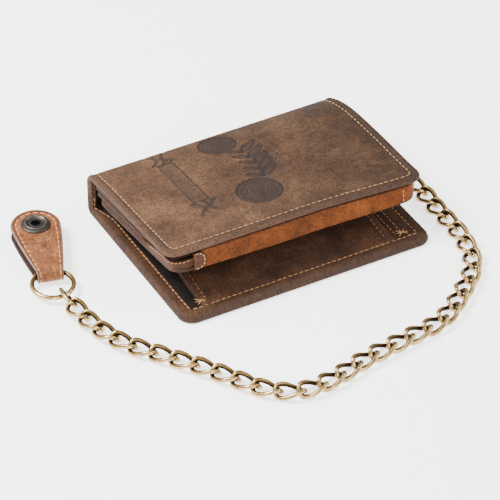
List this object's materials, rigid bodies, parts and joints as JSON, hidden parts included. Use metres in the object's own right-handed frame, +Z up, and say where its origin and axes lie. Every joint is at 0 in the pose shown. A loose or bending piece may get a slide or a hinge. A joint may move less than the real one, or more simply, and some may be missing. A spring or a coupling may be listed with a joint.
{
  "type": "chain wallet",
  "caption": "Bi-fold leather wallet with a coin box under its cover, a curb chain and a snap-closed belt fob.",
  "frame": {"origin": "middle of the back panel's underside, on the surface that the wallet lies on", "axes": "+X along the spine towards the end where the chain is fixed, +Y from the opening to the spine, +Z up from the back panel to the cover"},
  "size_m": [0.1914, 0.1667, 0.0312],
  "materials": {
    "shell_leather": "oiled, pull-up effect, rubbed edges",
    "inner_leather": "oiled, matt",
    "coin_leather": "waxed, orange-brown",
    "fob_leather": "waxed, tan",
    "black_lining": "plain woven lining",
    "chain_brass": "antique brass plate, worn bright on the high spots",
    "snap_metal": "gunmetal plated press stud"
  },
  "bodies": {
    "back": {"back_panel": "shell_leather", "bill_lining": "black_lining", "inner_panel": "inner_leather", "chain_tab": "shell_leather"},
    "spine": {"spine_panel": "shell_leather"},
    "cover": {"front_cover": "shell_leather", "cover_lining": "black_lining", "card_pocket_upper": "inner_leather", "card_pocket_lower": "inner_leather", "coin_snap_socket": "snap_metal"},
    "coin_box": {"coin_tray": "coin_leather", "coin_snap_stud": "snap_metal"},
    "chain_ring": {"chain_ring": "chain_brass"},
    "link_01": {"link_01": "chain_brass"},
    "link_02": {"link_02": "chain_brass"},
    "link_03": {"link_03": "chain_brass"},
    "link_04": {"link_04": "chain_brass"},
    "link_05": {"link_05": "chain_brass"},
    "link_06": {"link_06": "chain_brass"},
    "link_07": {"link_07": "chain_brass"},
    "link_08": {"link_08": "chain_brass"},
    "link_09": {"link_09": "chain_brass"},
    "link_10": {"link_10": "chain_brass"},
    "link_11": {"link_11": "chain_brass"},
    "link_12": {"link_12": "chain_brass"},
    "link_13": {"link_13": "chain_brass"},
    "link_14": {"link_14": "chain_brass"},
    "link_15": {"link_15": "chain_brass"},
    "link_16": {"link_16": "chain_brass"},
    "link_17": {"link_17": "chain_brass"},
    "link_18": {"link_18": "chain_brass"},
    "link_19": {"link_19": "chain_brass"},
    "link_20": {"link_20": "chain_brass"},
    "link_21": {"link_21": "chain_brass"},
    "link_22": {"link_22": "chain_brass"},
    "link_23": {"link_23": "chain_brass"},
    "link_24": {"link_24": "chain_brass"},
    "link_25": {"link_25": "chain_brass"},
    "link_26": {"link_26": "chain_brass"},
    "link_27": {"link_27": "chain_brass"},
    "link_28": {"link_28": "chain_brass"},
    "link_29": {"link_29": "chain_brass"},
    "link_30": {"link_30": "chain_brass"},
    "link_31": {"link_31": "chain_brass"},
    "link_32": {"link_32": "chain_brass"},
    "link_33": {"link_33": "chain_brass"},
    "link_34": {"link_34": "chain_brass"},
    "link_35": {"link_35": "chain_brass"},
    "fob_connector": {"fob_connector": "chain_brass"},
    "fob_ring": {"fob_ring": "chain_brass"},
    "fob": {"fob_strap": "fob_leather", "fob_snap_stud": "snap_metal", "fob_snap_base": "snap_metal"},
    "fob_flap": {"fob_flap": "fob_leather", "fob_snap_cap": "snap_metal", "fob_snap_socket": "snap_metal"}
  },
  "joints": [
    {"name": "spine_fold", "type": "hinge", "parent": "back", "child": "spine", "pos_m": [0, 0.0475, 0], "axis": [-1, 0, 0], "range_deg": [-6, 90]},
    {"name": "cover_fold", "type": "hinge", "parent": "spine", "child": "cover", "pos_m": [0, 0.0475, 0.021], "axis": [-1, 0, 0], "range_deg": [0, 83]},
    {"name": "coin_box_open", "type": "hinge", "parent": "cover", "child": "coin_box", "pos_m": [0, 0.03984, 0.01197], "axis": [1, 0, 0], "range_deg": [0, 41.5]},
    {"name": "fob_flap_open", "type": "hinge", "parent": "fob", "child": "fob_flap", "pos_m": [-0.09847, 0.01271, 0.0076], "axis": [0.9681, -0.2504, 0], "range_deg": [0, 120]},
    {"name": "fob_swing", "type": "hinge", "parent": "fob_ring", "child": "fob", "pos_m": [-0.10098, 0.003, 0.00377], "axis": [0, 0, 1], "range_deg": [-8, 60]},
    {"name": "fob_ring_turn", "type": "hinge", "parent": "fob_connector", "child": "fob_ring", "pos_m": [-0.09982, -0.00532, 0.0036], "axis": [0, 0, 1], "range_deg": [-12, 0]},
    {"name": "fob_connector_turn", "type": "hinge", "parent": "link_35", "child": "fob_connector", "pos_m": [-0.09916, -0.01339, 0.00345], "axis": [0, 0, 1], "range_deg": [0, 12]},
    {"name": "chain_ring_swing", "type": "hinge", "parent": "back", "child": "chain_ring", "pos_m": [0.06517, 0.0365, 0.0056], "axis": [0, 0, 1], "range_deg": [0, 25]},
    {"name": "link_01_turn", "type": "hinge", "parent": "chain_ring", "child": "link_01", "pos_m": [0.06579, 0.03174, 0.0056], "axis": [0, 0, 1], "range_deg": [0, 6]},
    {"name": "link_02_turn", "type": "hinge", "parent": "link_01", "child": "link_02", "pos_m": [0.06749, 0.02227, 0.00457], "axis": [0, 0, 1], "range_deg": [0, 6]},
    {"name": "link_03_turn", "type": "hinge", "parent": "link_02", "child": "link_03", "pos_m": [0.06968, 0.0128, 0.00369], "axis": [0, 0, 1], "range_deg": [0, 6]},
    {"name": "link_04_turn", "type": "hinge", "parent": "link_03", "child": "link_04", "pos_m": [0.07199, 0.00334, 0.0031], "axis": [0, 0, 1], "range_deg": [0, 6]},
    {"name": "link_05_turn", "type": "hinge", "parent": "link_04", "child": "link_05", "pos_m": [0.07421, -0.00615, 0.00284], "axis": [0, 0, 1], "range_deg": [0, 6]},
    {"name": "link_06_turn", "type": "hinge", "parent": "link_05", "child": "link_06", "pos_m": [0.07533, -0.0158, 0.00274], "axis": [0, 0, 1], "range_deg": [0, 6]},
    {"name": "link_07_turn", "type": "hinge", "parent": "link_06", "child": "link_07", "pos_m": [0.07506, -0.02553, 0.00273], "axis": [0, 0, 1], "range_deg": [0, 6]},
    {"name": "link_08_turn", "type": "hinge", "parent": "link_07", "child": "link_08", "pos_m": [0.07457, -0.03527, 0.00275], "axis": [0, 0, 1], "range_deg": [0, 6]},
    {"name": "link_09_turn", "type": "hinge", "parent": "link_08", "child": "link_09", "pos_m": [0.07419, -0.04502, 0.00275], "axis": [0, 0, 1], "range_deg": [0, 6]},
    {"name": "link_10_turn", "type": "hinge", "parent": "link_09", "child": "link_10", "pos_m": [0.07299, -0.05468, 0.00275], "axis": [0, 0, 1], "range_deg": [0, 6]},
    {"name": "link_11_turn", "type": "hinge", "parent": "link_10", "child": "link_11", "pos_m": [0.07047, -0.06407, 0.00275], "axis": [0, 0, 1], "range_deg": [0, 6]},
    {"name": "link_12_turn", "type": "hinge", "parent": "link_11", "child": "link_12", "pos_m": [0.0661, -0.07266, 0.00275], "axis": [0, 0, 1], "range_deg": [0, 6]},
    {"name": "link_13_turn", "type": "hinge", "parent": "link_12", "child": "link_13", "pos_m": [0.05972, -0.07995, 0.00275], "axis": [0, 0, 1], "range_deg": [0, 6]},
    {"name": "link_14_turn", "type": "hinge", "parent": "link_13", "child": "link_14", "pos_m": [0.05236, -0.08634, 0.00275], "axis": [0, 0, 1], "range_deg": [0, 6]},
    {"name": "link_15_turn", "type": "hinge", "parent": "link_14", "child": "link_15", "pos_m": [0.04464, -0.09231, 0.00275], "axis": [0, 0, 1], "range_deg": [0, 6]},
    {"name": "link_16_turn", "type": "hinge", "parent": "link_15", "child": "link_16", "pos_m": [0.03624, -0.0971, 0.00275], "axis": [0, 0, 1], "range_deg": [0, 6]},
    {"name": "link_17_turn", "type": "hinge", "parent": "link_16", "child": "link_17", "pos_m": [0.02696, -0.09982, 0.00275], "axis": [0, 0, 1], "range_deg": [0, 6]},
    {"name": "link_18_turn", "type": "hinge", "parent": "link_17", "child": "link_18", "pos_m": [0.01733, -0.10133, 0.00275], "axis": [0, 0, 1], "range_deg": [0, 6]},
    {"name": "link_19_turn", "type": "hinge", "parent": "link_18", "child": "link_19", "pos_m": [0.00766, -0.1027, 0.00275], "axis": [0, 0, 1], "range_deg": [0, 6]},
    {"name": "link_20_turn", "type": "hinge", "parent": "link_19", "child": "link_20", "pos_m": [-0.00198, -0.10421, 0.00275], "axis": [0, 0, 1], "range_deg": [0, 6]},
    {"name": "link_21_turn", "type": "hinge", "parent": "link_20", "child": "link_21", "pos_m": [-0.0115, -0.10628, 0.00275], "axis": [0, 0, 1], "range_deg": [0, 6]},
    {"name": "link_22_turn", "type": "hinge", "parent": "link_21", "child": "link_22", "pos_m": [-0.02099, -0.10858, 0.00275], "axis": [0, 0, 1], "range_deg": [0, 6]},
    {"name": "link_23_turn", "type": "hinge", "parent": "link_22", "child": "link_23", "pos_m": [-0.03061, -0.11006, 0.00275], "axis": [0, 0, 1], "range_deg": [0, 6]},
    {"name": "link_24_turn", "type": "hinge", "parent": "link_23", "child": "link_24", "pos_m": [-0.04011, -0.10922, 0.00275], "axis": [0, 0, 1], "range_deg": [0, 6]},
    {"name": "link_25_turn", "type": "hinge", "parent": "link_24", "child": "link_25", "pos_m": [-0.04864, -0.105, 0.00275], "axis": [0, 0, 1], "range_deg": [0, 6]},
    {"name": "link_26_turn", "type": "hinge", "parent": "link_25", "child": "link_26", "pos_m": [-0.05538, -0.09813, 0.00275], "axis": [0, 0, 1], "range_deg": [0, 6]},
    {"name": "link_27_turn", "type": "hinge", "parent": "link_26", "child": "link_27", "pos_m": [-0.06089, -0.09009, 0.00275], "axis": [0, 0, 1], "range_deg": [0, 6]},
    {"name": "link_28_turn", "type": "hinge", "parent": "link_27", "child": "link_28", "pos_m": [-0.06616, -0.08186, 0.00275], "axis": [0, 0, 1], "range_deg": [0, 6]},
    {"name": "link_29_turn", "type": "hinge", "parent": "link_28", "child": "link_29", "pos_m": [-0.07165, -0.0738, 0.00275], "axis": [0, 0, 1], "range_deg": [0, 6]},
    {"name": "link_30_turn", "type": "hinge", "parent": "link_29", "child": "link_30", "pos_m": [-0.0774, -0.06591, 0.00275], "axis": [0, 0, 1], "range_deg": [0, 6]},
    {"name": "link_31_turn", "type": "hinge", "parent": "link_30", "child": "link_31", "pos_m": [-0.08325, -0.0581, 0.00275], "axis": [0, 0, 1], "range_deg": [0, 6]},
    {"name": "link_32_turn", "type": "hinge", "parent": "link_31", "child": "link_32", "pos_m": [-0.08886, -0.05012, 0.00275], "axis": [0, 0, 1], "range_deg": [0, 6]},
    {"name": "link_33_turn", "type": "hinge", "parent": "link_32", "child": "link_33", "pos_m": [-0.09329, -0.04149, 0.00273], "axis": [0, 0, 1], "range_deg": [0, 6]},
    {"name": "link_34_turn", "type": "hinge", "parent": "link_33", "child": "link_34", "pos_m": [-0.09638, -0.03224, 0.00273], "axis": [0, 0, 1], "range_deg": [0, 6]},
    {"name": "link_35_turn", "type": "hinge", "parent": "link_34", "child": "link_35", "pos_m": [-0.09834, -0.0227, 0.00292], "axis": [0, 0, 1], "range_deg": [0, 6]}
  ],
  "couplings": [
    {"joint": "coin_box_open", "follows": "cover_fold", "ratio": 0.5}
  ]
}
